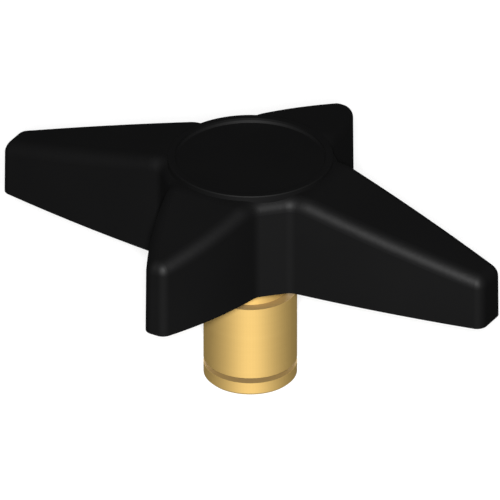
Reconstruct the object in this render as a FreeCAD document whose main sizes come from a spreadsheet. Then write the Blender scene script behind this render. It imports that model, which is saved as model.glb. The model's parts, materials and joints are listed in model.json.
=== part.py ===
import FreeCAD, Part
import math
import os

import Sketcher

# A four-arm locking knob: a moulded handle with two long and two short arms,
# moulded round a turned brass insert that carries the thread.
# Millimetres, +Z up. The origin is the centre of the insert's free end face,
# and the long arms lie along X.

OUT_DIR = "parts"
QUARTER_TURN = 90.0
FULL_TURN = 360.0
TOLERANCE = 1e-3
STEEP = 0.95           # share of an edge's length that is height, for an upright edge
FACES_UP = 0.5         # least upward part of the normal of a top surface

# Numbers that a sketch gives its own axes and origin, and the points of an edge
X_AXIS_ID, Y_AXIS_ID, ORIGIN_ID = -1, -2, -1
START_ID, END_ID, CENTRE_ID = 1, 2, 3

# Driving dimensions
DIMENSIONS = (
    # Plan of the arms, at their underside
    ("long_span", 100.4),            # tip to tip along X
    ("short_span", 69.0),            # tip to tip along Y
    ("root_station", 10.0),          # distance from the axis where the root widths are taken
    ("long_root_width", 19.0),
    ("long_tip_width", 7.1),
    ("long_side_radius", 330.0),     # bulge of the sides
    ("short_root_width", 19.5),
    ("short_tip_width", 3.8),
    ("short_side_radius", 73.4),
    ("valley_width", 32.3),          # across the hub, between opposite flats
    ("draft_angle", 0.6),            # degrees that every side leans in towards the top
    # Heights above the underside
    ("hub_height", 19.2),
    ("crown_offset", 2.5),           # end of a hub flat to where an arm begins to fall
    ("long_tip_height", 10.0),
    ("short_tip_height", 14.2),
    # Rounded edges
    ("crown_radius", 6.0),           # where the hub's top bends into an arm
    ("valley_radius", 2.5),
    ("tip_radius", 2.0),
    ("top_radius", 2.5),
    # Round boss on the hub, with a raised rim
    ("boss_diameter", 30.0),
    ("boss_root", 3.0),              # how far the boss reaches down into the hub
    ("rim_width", 1.3),
    ("rim_rise", 0.9),               # above the hub
    ("rim_chamfer", 0.15),
    ("recess_depth", 0.8),
    ("recess_chamfer", 0.35),
    # Turned insert
    ("insert_diameter", 17.0),
    ("insert_reach", 25.2),          # free length below the arms
    ("end_chamfer", 0.45),
    ("groove_width", 1.05),
    ("groove_depth", 2.0),
    ("upper_groove_drop", 6.2),      # underside of the arms to the upper groove
    ("lower_groove_lift", 2.6),      # end face to the lower groove
    # Shank of the insert, inside the moulding
    ("shank_flats", 14.0),           # across the flats of the hexagon
    ("shank_length", 12.0),
    ("key_drop", 4.5),               # top of the shank to its ring groove
    ("key_width", 3.0),
    ("key_depth", 1.2),
    # Blind threaded hole
    ("thread_diameter", 10.0),
    ("thread_length", 22.0),
    ("mouth_chamfer", 0.6),
    ("drill_point_angle", 118.0),
)

os.makedirs(OUT_DIR, exist_ok=True)
doc = FreeCAD.newDocument("locking_knob")
sheet = doc.addObject("Spreadsheet::Sheet", "dimensions")
for row, (alias, value) in enumerate(DIMENSIONS, start=1):
    sheet.set(f"A{row}", alias)
    sheet.set(f"B{row}", str(value))
    sheet.setAlias(f"B{row}", alias)
doc.recompute()


# Expressions and sketches

def cell(alias):
    return f"dimensions.{alias}"


def value_of(expression):
    return float(sheet.evalExpression(expression))


def bind(obj, **expressions):
    """Ties properties of an object to expressions in the driving dimensions."""
    for name, expression in expressions.items():
        obj.setExpression(name, expression)


def new_body(name):
    return doc.addObject("PartDesign::Body", name)


def new_sketch(body, name, role, lift=None, quarter_turn=False):
    """An empty sketch on an origin plane of the body, lifted and turned within that plane."""
    sketch = body.newObject("Sketcher::SketchObject", name)
    plane = next(feature for feature in body.Origin.OriginFeatures if feature.Role == role)
    sketch.AttachmentSupport = [(plane, "")]
    sketch.MapMode = "FlatFace"
    if quarter_turn:
        turn = FreeCAD.Rotation(FreeCAD.Vector(0, 0, 1), QUARTER_TURN)
        sketch.AttachmentOffset = FreeCAD.Placement(FreeCAD.Vector(), turn)
    if lift:
        sketch.setExpression("AttachmentOffset.Base.z", lift)
    return sketch


def constrain(sketch, kind, elements, expression):
    """A size constraint that follows an expression."""
    index = sketch.addConstraint(Sketcher.Constraint(kind, *elements, value_of(expression)))
    sketch.setExpression(f"Constraints[{index}]", expression)


def pin_point(sketch, edge, x, y):
    """Holds the start of an edge at expressions for x and y, where None is zero."""
    if x is None:
        sketch.addConstraint(Sketcher.Constraint("PointOnObject", edge, START_ID, Y_AXIS_ID))
    else:
        constrain(sketch, "DistanceX", (ORIGIN_ID, START_ID, edge, START_ID), x)
    if y is None:
        sketch.addConstraint(Sketcher.Constraint("PointOnObject", edge, START_ID, X_AXIS_ID))
    else:
        constrain(sketch, "DistanceY", (ORIGIN_ID, START_ID, edge, START_ID), y)


def bulged(start, end, radius):
    """The arc from start to end that bulges to the right of the way between them."""
    chord = end - start
    sagitta = radius - math.sqrt(radius ** 2 - (chord.Length / 2) ** 2)
    outward = FreeCAD.Vector(chord.y, -chord.x, 0).normalize()
    return Part.Arc(start, (start + end) / 2 + outward * sagitta, end)


def draw_loop(sketch, points, radii=None):
    """A closed loop of lines through points given as expressions, anticlockwise.

    radii maps the number of an edge to the radius of the arc that takes its place.
    """
    radii = radii or {}
    places = [[value_of(place) if place else 0 for place in point] for point in points]
    corners = [FreeCAD.Vector(x, y, 0) for x, y in places]
    first = sketch.GeometryCount
    count = len(points)
    for number, start in enumerate(corners):
        end = corners[(number + 1) % count]
        if number in radii:
            sketch.addGeometry(bulged(start, end, value_of(radii[number])))
        else:
            sketch.addGeometry(Part.LineSegment(start, end))
    for number, (x, y) in enumerate(points):
        following = first + (number + 1) % count
        meeting = (first + number, END_ID, following, START_ID)
        sketch.addConstraint(Sketcher.Constraint("Coincident", *meeting))
        pin_point(sketch, first + number, x, y)
    for number, radius in radii.items():
        constrain(sketch, "Radius", (first + number,), radius)


def draw_circle(sketch, diameter):
    radius = value_of(diameter) / 2
    circle = sketch.addGeometry(Part.Circle(FreeCAD.Vector(), FreeCAD.Vector(0, 0, 1), radius))
    sketch.addConstraint(Sketcher.Constraint("Coincident", circle, CENTRE_ID, ORIGIN_ID, START_ID))
    constrain(sketch, "Diameter", (circle,), diameter)


# Features

def add_pad(body, name, sketch, length, taper=None):
    pad = body.newObject("PartDesign::Pad", name)
    pad.Profile = sketch
    bind(pad, Length=length)
    if taper:
        bind(pad, TaperAngle=taper)
    doc.recompute()
    return pad


def add_turned(body, kind, name, sketch):
    """A Revolution or a Groove about the body's own upright axis."""
    feature = body.newObject(kind, name)
    feature.Profile = sketch
    feature.ReferenceAxis = (sketch, ["V_Axis"])
    feature.Angle = FULL_TURN
    doc.recompute()
    return feature


def dress(body, kind, name, edges, **expressions):
    """A Fillet or a Chamfer on the edges of the body's tip that edges() picks."""
    base = body.Tip
    feature = body.newObject(kind, name)
    feature.Base = (base, [f"Edge{number}" for number in edges(base.Shape)])
    bind(feature, **expressions)
    doc.recompute()
    return feature


def removes(feature, base_shape):
    """Stops where a cutting feature took nothing away."""
    if feature.Shape.Volume >= base_shape.Volume:
        raise RuntimeError(f"{feature.Name} cuts nothing")


# Picking edges

def faces_up(face):
    u_first, u_last, v_first, v_last = face.ParameterRange
    normal = face.normalAt((u_first + u_last) / 2, (v_first + v_last) / 2)
    return normal.z > FACES_UP


def pick(shape, wanted):
    return [number for number, edge in enumerate(shape.Edges, start=1) if wanted(shape, edge)]


def is_crease(shape, edge):
    """An edge between two top surfaces."""
    faces = shape.ancestorsOfType(edge, Part.Face)
    return len(faces) == 2 and all(faces_up(face) for face in faces)


def is_rim_of_top(shape, edge):
    """An edge between a top surface and a side."""
    faces = shape.ancestorsOfType(edge, Part.Face)
    return sorted(faces_up(face) for face in faces) == [False, True]


def foot_of(edge):
    """The lower end of an upright edge that stands on the underside, or None."""
    low, high = sorted((vertex.Point for vertex in edge.Vertexes[:2]), key=lambda point: point.z)
    stands = abs(low.z) < TOLERANCE
    return low if stands and high.z - low.z > STEEP * edge.Length else None


def is_at_tip(point):
    spans = (value_of(cell("long_span")), value_of(cell("short_span")))
    reach = (abs(point.x), abs(point.y))
    return any(abs(at - span / 2) < TOLERANCE for at, span in zip(reach, spans))


def is_tip_corner(shape, edge):
    foot = foot_of(edge) if len(edge.Vertexes) == 2 else None
    return foot is not None and is_at_tip(foot)


def is_valley_corner(shape, edge):
    foot = foot_of(edge) if len(edge.Vertexes) == 2 else None
    return foot is not None and not is_at_tip(foot)


# Arms and hub, with their underside at zero height

def arm_pair(body, name, quarter_turn):
    """Two opposite arms: a waisted bar that tapers to its tips along bulging sides."""
    half = {key: f"{cell(f'{name}_{key}')} / 2" for key in ("span", "root_width", "tip_width")}
    tip, root, end = half["tip_width"], half["root_width"], half["span"]
    station = cell("root_station")
    points = (
        (end, f"-({tip})"), (end, tip), (station, root), (f"-{station}", root),
        (f"-({end})", tip), (f"-({end})", f"-({tip})"),
        (f"-{station}", f"-({root})"), (station, f"-({root})"),
    )
    radius = cell(f"{name}_side_radius")
    sketch = new_sketch(body, f"{name}_arms_plan", "XY_Plane", quarter_turn=quarter_turn)
    draw_loop(sketch, points, {1: radius, 3: radius, 5: radius, 7: radius})
    add_pad(body, f"{name}_arms", sketch, cell("hub_height"), f"-{cell('draft_angle')}")


def hub(body):
    """A square block set at 45 degrees, whose flats close the valleys between the arms."""
    corner = f"{cell('valley_width')} / sqrt(2)"
    sketch = new_sketch(body, "hub_plan", "XY_Plane")
    draw_loop(sketch, ((corner, None), (None, corner), (f"-{corner}", None), (None, f"-{corner}")))
    add_pad(body, "hub", sketch, cell("hub_height"), f"-{cell('draft_angle')}")


def arm_slopes(body, name, role, side):
    """Cuts the tops of two opposite arms down to slopes from the hub to the tips."""
    flat_end = f"{cell('valley_width')} / sqrt(2) - {cell(f'{name}_root_width')} / 2"
    start, top = f"{flat_end} + {cell('crown_offset')}", cell("hub_height")
    end, tip = f"{cell(f'{name}_span')} / 2", cell(f"{name}_tip_height")
    above = f"{top} + {cell('top_radius')}"
    base_shape = body.Tip.Shape
    sketch = new_sketch(body, f"{name}_slopes_profile", role)
    draw_loop(sketch, ((start, top), (end, tip), (end, above), (start, above)))
    back, far = f"-({start})", f"-({end})"
    mirrored = ((back, top), (back, above), (far, above), (far, tip))
    draw_loop(sketch, mirrored)
    pocket = body.newObject("PartDesign::Pocket", f"{name}_slopes")
    pocket.Profile = sketch
    pocket.SideType = "Symmetric"
    bind(pocket, Length=side)
    doc.recompute()
    removes(pocket, base_shape)


arms = new_body("arms_blank")
arm_pair(arms, "long", quarter_turn=False)
arm_pair(arms, "short", quarter_turn=True)
hub(arms)
arm_slopes(arms, "long", "XZ_Plane", cell("valley_width"))
arm_slopes(arms, "short", "YZ_Plane", cell("valley_width"))
dress(arms, "PartDesign::Fillet", "crowns", lambda shape: pick(shape, is_crease),
      Radius=cell("crown_radius"))
dress(arms, "PartDesign::Fillet", "valleys", lambda shape: pick(shape, is_valley_corner),
      Radius=cell("valley_radius"))

# The tips' corners and the edge of the top are rolled together, each with its own radius,
# because they meet at the tips
rounded_arms = doc.addObject("Part::Fillet", "rounded_arms")
rounded_arms.Base = arms
top_radius, tip_radius = value_of(cell("top_radius")), value_of(cell("tip_radius"))
rounded_arms.Edges = (
    [(number, top_radius, top_radius) for number in pick(arms.Shape, is_rim_of_top)]
    + [(number, tip_radius, tip_radius) for number in pick(arms.Shape, is_tip_corner)]
)
doc.recompute()


# Boss

def boss_profile(body):
    """Half section of a short drum with a raised rim round a shallow recess."""
    top, outer = f"{cell('hub_height')} + {cell('rim_rise')}", f"{cell('boss_diameter')} / 2"
    foot, inner = f"{cell('hub_height')} - {cell('boss_root')}", f"{outer} - {cell('rim_width')}"
    floor = f"{top} - {cell('recess_depth')}"
    sketch = new_sketch(body, "boss_profile", "XZ_Plane")
    outside = ((None, foot), (outer, foot), (outer, top))
    recess = ((inner, top), (inner, floor), (None, floor))
    draw_loop(sketch, outside + recess)
    return sketch


def ring_edges(shape, diameter, height):
    """Round edges of this diameter at this height."""
    def wanted(_, edge):
        curve = edge.Curve
        if not isinstance(curve, Part.Circle):
            return False
        misfit = max(abs(curve.Radius - diameter / 2), abs(curve.Center.z - height))
        return misfit < TOLERANCE
    return pick(shape, wanted)


boss = new_body("boss")
add_turned(boss, "PartDesign::Revolution", "drum", boss_profile(boss))
rim_top = value_of(f"{cell('hub_height')} + {cell('rim_rise')}")
boss_diameter, rim_width = value_of(cell("boss_diameter")), value_of(cell("rim_width"))
dress(boss, "PartDesign::Chamfer", "rim_edge",
      lambda shape: ring_edges(shape, boss_diameter, rim_top), Size=cell("rim_chamfer"))
recess_floor = rim_top - value_of(cell("recess_depth"))
dress(boss, "PartDesign::Chamfer", "recess_corner",
      lambda shape: ring_edges(shape, boss_diameter - 2 * rim_width, recess_floor),
      Size=cell("recess_chamfer"))

handle = doc.addObject("Part::Fuse", "handle_blank")
handle.Base, handle.Tool = rounded_arms, boss
handle.Refine = True
bind(handle, **{"Placement.Base.z": cell("insert_reach")})
doc.recompute()


# Insert, with its end face at zero height

def hexagon(flats):
    """The corners of a hexagon of this size across its flats, the first on the X axis."""
    corner, flat = f"{flats} / sqrt(3)", f"{flats} / 2"
    upper = ((corner, None), (f"{corner} / 2", flat), (f"-{corner} / 2", flat))
    lower = ((f"-{corner}", None), (f"-{corner} / 2", f"-{flat}"), (f"{corner} / 2", f"-{flat}"))
    return upper + lower


def ring_groove(body, name, outer, bottom, width, depth):
    """A square ring groove of this width and depth below an outer diameter, from bottom upwards."""
    base_shape = body.Tip.Shape
    wide, floor = f"{outer} / 2 + {depth}", f"{outer} / 2 - {depth}"
    top = f"{bottom} + {width}"
    sketch = new_sketch(body, f"{name}_profile", "XZ_Plane")
    draw_loop(sketch, ((floor, bottom), (wide, bottom), (wide, top), (floor, top)))
    removes(add_turned(body, "PartDesign::Groove", name, sketch), base_shape)


insert_blank = new_body("insert_blank")
barrel_plan = new_sketch(insert_blank, "barrel_plan", "XY_Plane")
draw_circle(barrel_plan, cell("insert_diameter"))
add_pad(insert_blank, "barrel", barrel_plan, cell("insert_reach"))
shank_plan = new_sketch(insert_blank, "shank_plan", "XY_Plane", lift=cell("insert_reach"))
draw_loop(shank_plan, hexagon(cell("shank_flats")))
add_pad(insert_blank, "shank", shank_plan, cell("shank_length"))
grooves = {
    "upper_groove": f"{cell('insert_reach')} - {cell('upper_groove_drop')} - {cell('groove_width')}",
    "lower_groove": cell("lower_groove_lift"),
}
for groove, bottom in grooves.items():
    ring_groove(insert_blank, groove, cell("insert_diameter"), bottom,
                cell("groove_width"), cell("groove_depth"))
key_top = f"{cell('insert_reach')} + {cell('shank_length')} - {cell('key_drop')}"
ring_groove(insert_blank, "key", cell("shank_flats"), f"{key_top} - {cell('key_width')}",
            cell("key_width"), cell("key_depth"))
dress(insert_blank, "PartDesign::Chamfer", "end_edge",
      lambda shape: ring_edges(shape, value_of(cell("insert_diameter")), 0), Size=cell("end_chamfer"))

thread_hole = new_body("thread_hole")
bore = f"{cell('thread_diameter')} / 2"
mouth, depth = f"{bore} + {cell('mouth_chamfer')}", cell("thread_length")
point = f"{depth} + {bore} / tan({cell('drill_point_angle')} / 2)"
hole_profile = new_sketch(thread_hole, "hole_profile", "XZ_Plane")
open_end = ((None, None), (mouth, None), (bore, cell("mouth_chamfer")))
draw_loop(hole_profile, open_end + ((bore, depth), (None, point)))
add_turned(thread_hole, "PartDesign::Revolution", "hole", hole_profile)


# Finished pieces

def finished_cut(label, base, tool):
    """A finished piece: the base less the tool."""
    piece = doc.addObject("Part::Cut", label)
    piece.Label = label
    piece.Base, piece.Tool = base, tool
    piece.Refine = True
    doc.recompute()
    removes(piece, base.Shape)
    return piece


pieces = (
    finished_cut("knob_handle", handle, insert_blank),
    finished_cut("threaded_insert", insert_blank, thread_hole),
)

failed = [obj.Name for obj in doc.Objects if "Invalid" in obj.State or "Error" in obj.State]
if failed:
    raise RuntimeError(f"failed objects: {failed}")
for piece in pieces:
    shape = piece.Shape
    if shape.isNull() or not shape.isValid() or len(shape.Solids) != 1:
        raise RuntimeError(f"{piece.Label} is not one valid solid")
    shape.exportStep(f"{OUT_DIR}/{piece.Label}.step")
    print(piece.Label, round(shape.Volume, 1), shape.BoundBox)
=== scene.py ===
import json
import math

import bmesh
import bpy
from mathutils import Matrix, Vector


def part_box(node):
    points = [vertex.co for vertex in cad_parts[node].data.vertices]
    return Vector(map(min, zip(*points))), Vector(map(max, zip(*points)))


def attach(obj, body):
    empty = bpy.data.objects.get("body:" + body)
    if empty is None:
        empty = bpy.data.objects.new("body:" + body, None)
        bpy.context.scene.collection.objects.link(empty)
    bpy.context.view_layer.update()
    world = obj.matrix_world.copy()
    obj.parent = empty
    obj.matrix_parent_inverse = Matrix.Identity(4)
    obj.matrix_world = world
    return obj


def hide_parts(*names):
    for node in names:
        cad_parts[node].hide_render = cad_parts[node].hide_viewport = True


# The dressed locking knob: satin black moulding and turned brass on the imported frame, with the
# insert's neck, the thread in its bore, a plain floor, soft light and a camera at the
# photograph's angle. Metres, +Z up.

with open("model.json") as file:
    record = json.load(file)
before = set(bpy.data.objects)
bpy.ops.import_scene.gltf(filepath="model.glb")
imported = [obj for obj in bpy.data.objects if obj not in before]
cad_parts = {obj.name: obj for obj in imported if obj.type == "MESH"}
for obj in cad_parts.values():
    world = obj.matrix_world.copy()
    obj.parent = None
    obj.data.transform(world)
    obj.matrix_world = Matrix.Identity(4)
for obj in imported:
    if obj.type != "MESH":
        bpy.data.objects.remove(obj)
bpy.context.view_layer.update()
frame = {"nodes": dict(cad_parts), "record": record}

MM = 0.001
GROOVE_DEPTH = 2.0 * MM         # of the insert's ring grooves
SAME_PLACE = 0.01 * MM          # within which two places count as one

# Places read from the frame
insert_low, insert_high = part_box("threaded_insert")
barrel_radius = (insert_high.x - insert_low.x) / 2
arms_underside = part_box("knob_handle")[0].z
mounts = {mount["name"]: mount for mount in frame["record"]["mounts"]}
thread_mount = mounts["stud_thread"]
bore_middle = thread_mount["pos_m"][2]
bore_radius = thread_mount["dims"]["r_mm"] * MM
bore_length = thread_mount["dims"]["length_mm"] * MM


def in_upper_groove(point):
    """Whether a point of the insert's mesh is on the floor of its upper ring groove."""
    on_floor = abs(point.co.xy.length - (barrel_radius - GROOVE_DEPTH)) < SAME_PLACE
    return on_floor and point.co.z > arms_underside / 2


insert_points = frame["nodes"]["threaded_insert"].data.vertices
groove_heights = [point.co.z for point in insert_points if in_upper_groove(point)]
shoulder, groove_roof = min(groove_heights), max(groove_heights)


# Shader nodes

def new_material(name):
    """A node material with its node tree and its shader."""
    material = bpy.data.materials.new(name)
    material.use_nodes = True
    return material, material.node_tree, material.node_tree.nodes["Principled BSDF"]


def add_node(tree, kind, **inputs):
    """A shader node with its inputs set by name."""
    node = tree.nodes.new(kind)
    set_inputs(node, **inputs)
    return node


def set_inputs(node, **inputs):
    """Sets a node's inputs by name, with underscores for spaces."""
    for name, value in inputs.items():
        node.inputs[name.replace("_", " ")].default_value = value


def remap(tree, value, low, high, start=0.0, end=1.0):
    """Maps a value of start to end onto low to high, and holds it there outside."""
    limits = dict(From_Min=start, From_Max=end, To_Min=low, To_Max=high)
    node = add_node(tree, "ShaderNodeMapRange", **limits)
    tree.links.new(value, node.inputs["Value"])
    return node.outputs["Result"]


def product(tree, first, second):
    """Two values multiplied."""
    node = tree.nodes.new("ShaderNodeMath")
    node.operation = "MULTIPLY"
    tree.links.new(first, node.inputs[0])
    tree.links.new(second, node.inputs[1])
    return node.outputs["Value"]


def blend(tree, share, first, second):
    """Mixes two colours, each a colour of its own or the output of a node."""
    node = tree.nodes.new("ShaderNodeMix")
    node.data_type = "RGBA"
    tree.links.new(share, node.inputs["Factor"])
    for socket, colour in (("A", first), ("B", second)):
        if isinstance(colour, tuple):
            node.inputs[socket].default_value = colour
        else:
            tree.links.new(colour, node.inputs[socket])
    return node.outputs["Result"]


def noise(tree, place, scale, detail=2.0, roughness=0.5):
    """Unevenness of zero to one at a place, with about this many cells to the metre."""
    node = add_node(tree, "ShaderNodeTexNoise", Scale=scale, Detail=detail, Roughness=roughness)
    tree.links.new(place, node.inputs["Vector"])
    return node.outputs["Fac"]


def bump(tree, shader, height, distance):
    """Tips the shader's normal by a height of zero to one over this distance."""
    node = add_node(tree, "ShaderNodeBump", Distance=distance)
    tree.links.new(height, node.inputs["Height"])
    tree.links.new(node.outputs["Normal"], shader.inputs["Normal"])


# Materials

BUMP_DEPTH = 0.004 * MM
WHITE = (1.0, 1.0, 1.0, 1.0)

# Black moulding
GRAIN_SCALE = 2600.0
FLOW_SCALE = 55.0
FLOW_DETAIL = 3.0
BLACK_DEEP = (0.0026, 0.0026, 0.0027, 1.0)
BLACK_PALE = (0.0032, 0.0032, 0.0033, 1.0)
BLACK_ROUGHNESS = (0.54, 0.60)  # least and most
BLACK_SPECULAR = 0.15

# Brass
RING_SCALE = 5200.0
RING_ROUGHNESS = 0.6            # of the noise that makes the rings
BAND_SCALE = 700.0
BRASS_DEEP = (0.58, 0.40, 0.135, 1.0)
BRASS_PALE = (0.625, 0.44, 0.155, 1.0)
# Painted shade: a darker, duller brass colour laid in the ring groove and on the shoulder
BRASS_PAINTED_SHADE = (0.255, 0.163, 0.053, 1.0)
BRASS_ROUGHNESS = (0.71, 0.79)  # least and most
BRASS_ANISOTROPY = 0.32
BRASS_ANISOTROPY_TURN = 0.25    # of a full turn
METAL_CLEAN = 0.8               # how metallic the bare brass is
METAL_PAINTED_SHADE = 0.2                # and where the painted shade covers it
PAINTED_SHADE_FADE = 0.1 * MM            # below the barrel's surface, over which the painted shade comes up
PAINTED_SHADE_CORE = 6.0 * MM            # radius that the painted shade stays outside of
PAINTED_SHADE_FOOT = 0.6 * MM            # height that it stays above
PAINTED_SHADE_CLIMB = 0.02 * MM          # how far it climbs above the barrel's shoulder
PAINTED_SHADE_EDGE = 0.05 * MM           # over which it ends there

# Floor
CLOUD_SCALE = 4.0
BOARD_DEEP = (0.34, 0.34, 0.34, 1.0)
BOARD_PALE = (0.36, 0.36, 0.36, 1.0)
BOARD_ROUGHNESS = 0.9
BOARD_SPECULAR = 0.1
BOARD_GLOW = 0.70               # keeps the board evenly white, as in the photograph


def black_plastic():
    """Satin black moulded plastic: a fine even grain, and flow marks too faint to see as colour."""
    material, tree, shader = new_material("black_plastic")
    set_inputs(shader, Metallic=0.0, Specular_IOR_Level=BLACK_SPECULAR)
    place = tree.nodes.new("ShaderNodeTexCoord").outputs["Object"]
    grain = noise(tree, place, GRAIN_SCALE)
    flow = noise(tree, place, FLOW_SCALE, detail=FLOW_DETAIL)
    tree.links.new(blend(tree, flow, BLACK_DEEP, BLACK_PALE), shader.inputs["Base Color"])
    tree.links.new(remap(tree, flow, *BLACK_ROUGHNESS), shader.inputs["Roughness"])
    bump(tree, shader, grain, BUMP_DEPTH)
    return material


def groove_painted_shade(tree, place, height):
    """How much painted shade a place has: darker, less metallic brass in the ring groove and on the
    shoulder.
    """
    flat = tree.nodes.new("ShaderNodeVectorMath")
    flat.operation = "MULTIPLY"
    flat.inputs[1].default_value = (1.0, 1.0, 0.0)
    tree.links.new(place, flat.inputs[0])
    length = tree.nodes.new("ShaderNodeVectorMath")
    length.operation = "LENGTH"
    tree.links.new(flat.outputs["Vector"], length.inputs[0])
    radius = length.outputs["Value"]
    below = remap(tree, radius, 1.0, 0.0, start=barrel_radius - PAINTED_SHADE_FADE, end=barrel_radius)
    outside = remap(tree, radius, 0.0, 1.0, start=PAINTED_SHADE_CORE, end=PAINTED_SHADE_CORE + PAINTED_SHADE_FADE)
    above = remap(tree, height, 0.0, 1.0, start=PAINTED_SHADE_FOOT, end=PAINTED_SHADE_FOOT + PAINTED_SHADE_FADE)
    top = shoulder + PAINTED_SHADE_CLIMB
    under = remap(tree, height, 1.0, 0.0, start=top, end=top + PAINTED_SHADE_EDGE)
    return product(tree, product(tree, below, outside), product(tree, above, under))


def turned_brass():
    """Brass as the lathe leaves it: fine rings round the axis, uneven in depth and tone."""
    material, tree, shader = new_material("turned_brass")
    set_inputs(shader, Anisotropic=BRASS_ANISOTROPY, Anisotropic_Rotation=BRASS_ANISOTROPY_TURN)
    tangent = tree.nodes.new("ShaderNodeTangent")
    tangent.direction_type, tangent.axis = "RADIAL", "Z"
    tree.links.new(tangent.outputs["Tangent"], shader.inputs["Tangent"])
    place = tree.nodes.new("ShaderNodeTexCoord").outputs["Object"]
    parts = tree.nodes.new("ShaderNodeSeparateXYZ")
    tree.links.new(place, parts.inputs["Vector"])
    height = parts.outputs["Z"]
    along = tree.nodes.new("ShaderNodeCombineXYZ")
    tree.links.new(height, along.inputs["Z"])
    rings = noise(tree, along.outputs["Vector"], RING_SCALE, roughness=RING_ROUGHNESS)
    bands = noise(tree, along.outputs["Vector"], BAND_SCALE)
    metal = blend(tree, bands, BRASS_DEEP, BRASS_PALE)
    # Painted shade: darker, less metallic brass in the ring groove and on the shoulder
    painted_shade = groove_painted_shade(tree, place, height)
    tree.links.new(blend(tree, painted_shade, metal, BRASS_PAINTED_SHADE), shader.inputs["Base Color"])
    tree.links.new(remap(tree, painted_shade, METAL_CLEAN, METAL_PAINTED_SHADE), shader.inputs["Metallic"])
    tree.links.new(remap(tree, rings, *BRASS_ROUGHNESS), shader.inputs["Roughness"])
    bump(tree, shader, rings, BUMP_DEPTH)
    return material


def pale_board():
    """Plain white board with a barely uneven surface."""
    material, tree, shader = new_material("pale_board")
    set_inputs(shader, Roughness=BOARD_ROUGHNESS, Specular_IOR_Level=BOARD_SPECULAR)
    set_inputs(shader, Emission_Color=WHITE, Emission_Strength=BOARD_GLOW)
    place = tree.nodes.new("ShaderNodeTexCoord").outputs["Object"]
    clouds = noise(tree, place, CLOUD_SCALE)
    tree.links.new(blend(tree, clouds, BOARD_DEEP, BOARD_PALE), shader.inputs["Base Color"])
    return material


def dress(node, material):
    """Puts a material in every slot of a CAD node."""
    mesh = frame["nodes"][node].data
    if not mesh.materials:
        mesh.materials.append(material)
    for number in range(len(mesh.materials)):
        mesh.materials[number] = material


brass = turned_brass()
dress("knob_handle", black_plastic())
dress("threaded_insert", brass)


# Neck of the insert

NECK_RADIUS = 6.65 * MM
COLLAR_HEIGHT = 1.2 * MM        # of the full radius that is left under the handle


def necked_insert():
    """The insert with its upper groove opened to the neck that the photograph shows."""
    mesh = frame["nodes"]["threaded_insert"].data.copy()
    mesh.name = "necked_insert"
    for point in mesh.vertices:
        if in_upper_groove(point):
            point.co.xy *= NECK_RADIUS / point.co.xy.length
        if abs(point.co.z - groove_roof) < SAME_PLACE:
            point.co.z = arms_underside - COLLAR_HEIGHT
    insert = bpy.data.objects.new("necked_insert", mesh)
    bpy.context.scene.collection.objects.link(insert)
    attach(insert, "root")
    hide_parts("threaded_insert")
    return insert


insert = necked_insert()


# Thread in the bore

THREAD_PITCH = 1.5 * MM
THREAD_DEPTH = 0.78 * MM        # from the bore's wall to the crest
ROOT_SINK = 0.02 * MM           # how far the ridge's foot stands into the wall
CREST_SHARE = 1 / 8             # of the pitch that the crest takes
FOOT_SHARE = 13 / 16            # of the pitch that the foot takes
STEPS_PER_TURN = 72
RUN_OUT_TURNS = 0.75            # over which the ridge fades away at both ends


def ridge_sections():
    """The ridge's four corners at each step up the bore, right-handed."""
    low = bore_middle - bore_length / 2 + THREAD_PITCH / 2
    turns = (bore_length - THREAD_PITCH) / THREAD_PITCH
    half_foot, half_crest = THREAD_PITCH * FOOT_SHARE / 2, THREAD_PITCH * CREST_SHARE / 2
    foot = bore_radius + ROOT_SINK
    for step in range(round(turns * STEPS_PER_TURN) + 1):
        turn = step / STEPS_PER_TURN
        fade = max(0.0, min(1.0, turn / RUN_OUT_TURNS, (turns - turn) / RUN_OUT_TURNS))
        crest = bore_radius - THREAD_DEPTH * fade
        angle, height = 2 * math.pi * turn, low + turn * THREAD_PITCH
        corners = ((foot, -half_foot), (crest, -half_crest), (crest, half_crest), (foot, half_foot))
        yield [(r * math.cos(angle), r * math.sin(angle), height + lift) for r, lift in corners]


def thread_ridge():
    """The ridge wound up the bore, fading into the wall at both ends."""
    shape = bmesh.new()
    sections = [[shape.verts.new(point) for point in section] for section in ridge_sections()]
    for lower, upper in zip(sections, sections[1:]):
        for first, second in ((0, 1), (1, 2), (2, 3), (3, 0)):
            shape.faces.new((lower[first], lower[second], upper[second], upper[first]))
    shape.faces.new(sections[0])
    shape.faces.new(reversed(sections[-1]))
    bmesh.ops.recalc_face_normals(shape, faces=shape.faces)
    mesh = bpy.data.meshes.new("thread_ridge")
    shape.to_mesh(mesh)
    shape.free()
    mesh.materials.append(brass)
    ridge = bpy.data.objects.new("thread_ridge", mesh)
    bpy.context.scene.collection.objects.link(ridge)
    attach(ridge, "root")


thread_ridge()


# Floor

FLOOR_SIZE = 8.0
FLOOR_DROP = 0.02 * MM          # keeps the board clear of the insert's end face


def add_floor():
    """A board under the knob that the knob itself doesn't mirror."""
    half = FLOOR_SIZE / 2
    corners = [(x * half, y * half, -FLOOR_DROP) for x, y in ((-1, -1), (1, -1), (1, 1), (-1, 1))]
    mesh = bpy.data.meshes.new("floor")
    mesh.from_pydata(corners, [], [(0, 1, 2, 3)])
    mesh.materials.append(pale_board())
    floor = bpy.data.objects.new("floor", mesh)
    bpy.context.scene.collection.objects.link(floor)
    floor.visible_diffuse = floor.visible_glossy = False


add_floor()


# Camera

AZIMUTH = math.radians(30)      # round from straight in front, towards +X
ELEVATION = math.radians(30)
SENSOR = 36.0
LENS = 1500.0                   # long, because the photograph has parallel edges
VIEW_WIDTH = 90.5 * MM          # what the frame spans at the knob
AIM_LIFT = 0.40 * MM            # above the arms' underside
AIM_LEFT = 0.051 * MM           # of the axis
NEAR_CLIP = 0.01
FAR_CLIP_SHARE = 4              # of the camera's distance


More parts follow.
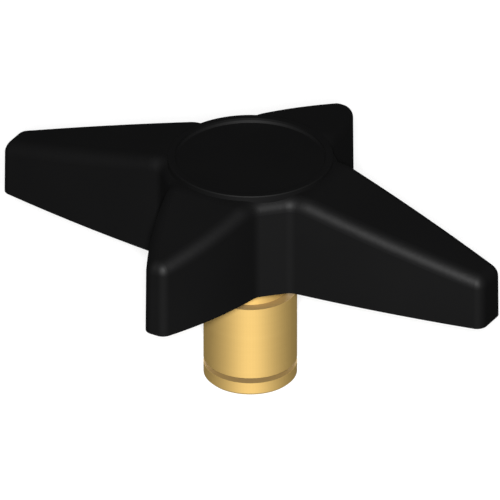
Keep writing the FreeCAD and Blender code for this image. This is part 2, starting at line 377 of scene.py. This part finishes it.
def outward(azimuth, elevation):
    """The way from the object to a place round it, from straight in front towards +X."""
    level = math.cos(elevation)
    return Vector((math.sin(azimuth) * level, -math.cos(azimuth) * level, math.sin(elevation)))


def add_camera():
    """A camera far off behind a long lens, at the photograph's angle."""
    data = bpy.data.cameras.new("camera")
    data.sensor_width, data.lens = SENSOR, LENS
    distance = VIEW_WIDTH * LENS / SENSOR
    data.clip_start, data.clip_end = NEAR_CLIP, FAR_CLIP_SHARE * distance
    camera = bpy.data.objects.new("camera", data)
    back = outward(AZIMUTH, ELEVATION)
    left = -Vector((math.cos(AZIMUTH), math.sin(AZIMUTH), 0))
    aim = Vector((0, 0, arms_underside + AIM_LIFT)) + left * AIM_LEFT
    camera.location = aim + back * distance
    camera.rotation_euler = back.to_track_quat("Z", "Y").to_euler()
    bpy.context.scene.collection.objects.link(camera)
    bpy.context.scene.camera = camera


add_camera()


# Light

# Name, degrees round from the camera and above the floor, width, height, watts, whether shiny
# surfaces mirror it, and whether it lights the insert alone
LAMPS = (
    ("front_lamp", 0, 30, 0.33, 0.33, 367.0, True, False),
    ("back_left_lamp", -152, 2.5, 1.0, 0.2, 133.0, False, False),
    ("back_right_lamp", 152, 2.5, 1.0, 0.2, 133.0, False, False),
    ("insert_left_lamp", -152, 8, 1.0, 1.0, 133.0, False, True),
    ("insert_right_lamp", 152, 8, 1.0, 1.0, 133.0, False, True),
    ("insert_back_lamp", 180, 12, 1.0, 1.0, 156.0, True, True),
)
LAMP_DISTANCE = 4.0
SURROUND_STRENGTH = 0.015       # on the knob
BACKDROP_STRENGTH = 1.0         # to the camera


def add_lamp(name, round_degrees, up_degrees, width, height, watts, mirrored, insert_only):
    """A rectangular lamp at its place round the knob, turned towards it."""
    data = bpy.data.lights.new(name, "AREA")
    data.shape, data.size, data.size_y, data.energy = "RECTANGLE", width, height, watts
    lamp = bpy.data.objects.new(name, data)
    way = outward(AZIMUTH + math.radians(round_degrees), math.radians(up_degrees))
    lamp.location = Vector((0, 0, arms_underside)) + way * LAMP_DISTANCE
    lamp.rotation_euler = way.to_track_quat("Z", "Y").to_euler()
    lamp.visible_glossy = mirrored
    if insert_only:
        lit = bpy.data.collections.new("lit_by_" + name)
        lit.objects.link(insert)
        lamp.light_linking.receiver_collection = lit
    bpy.context.scene.collection.objects.link(lamp)


def add_surround():
    """A dim white surround that the camera sees as bright as the floor."""
    world = bpy.data.worlds.new("studio")
    world.use_nodes = True
    tree = world.node_tree
    background = tree.nodes["Background"]
    background.inputs["Color"].default_value = WHITE
    seen = tree.nodes.new("ShaderNodeLightPath").outputs["Is Camera Ray"]
    strength = remap(tree, seen, SURROUND_STRENGTH, BACKDROP_STRENGTH)
    tree.links.new(strength, background.inputs["Strength"])
    bpy.context.scene.world = world


for lamp in LAMPS:
    add_lamp(*lamp)
add_surround()
bpy.context.scene.view_settings.view_transform = "Standard"
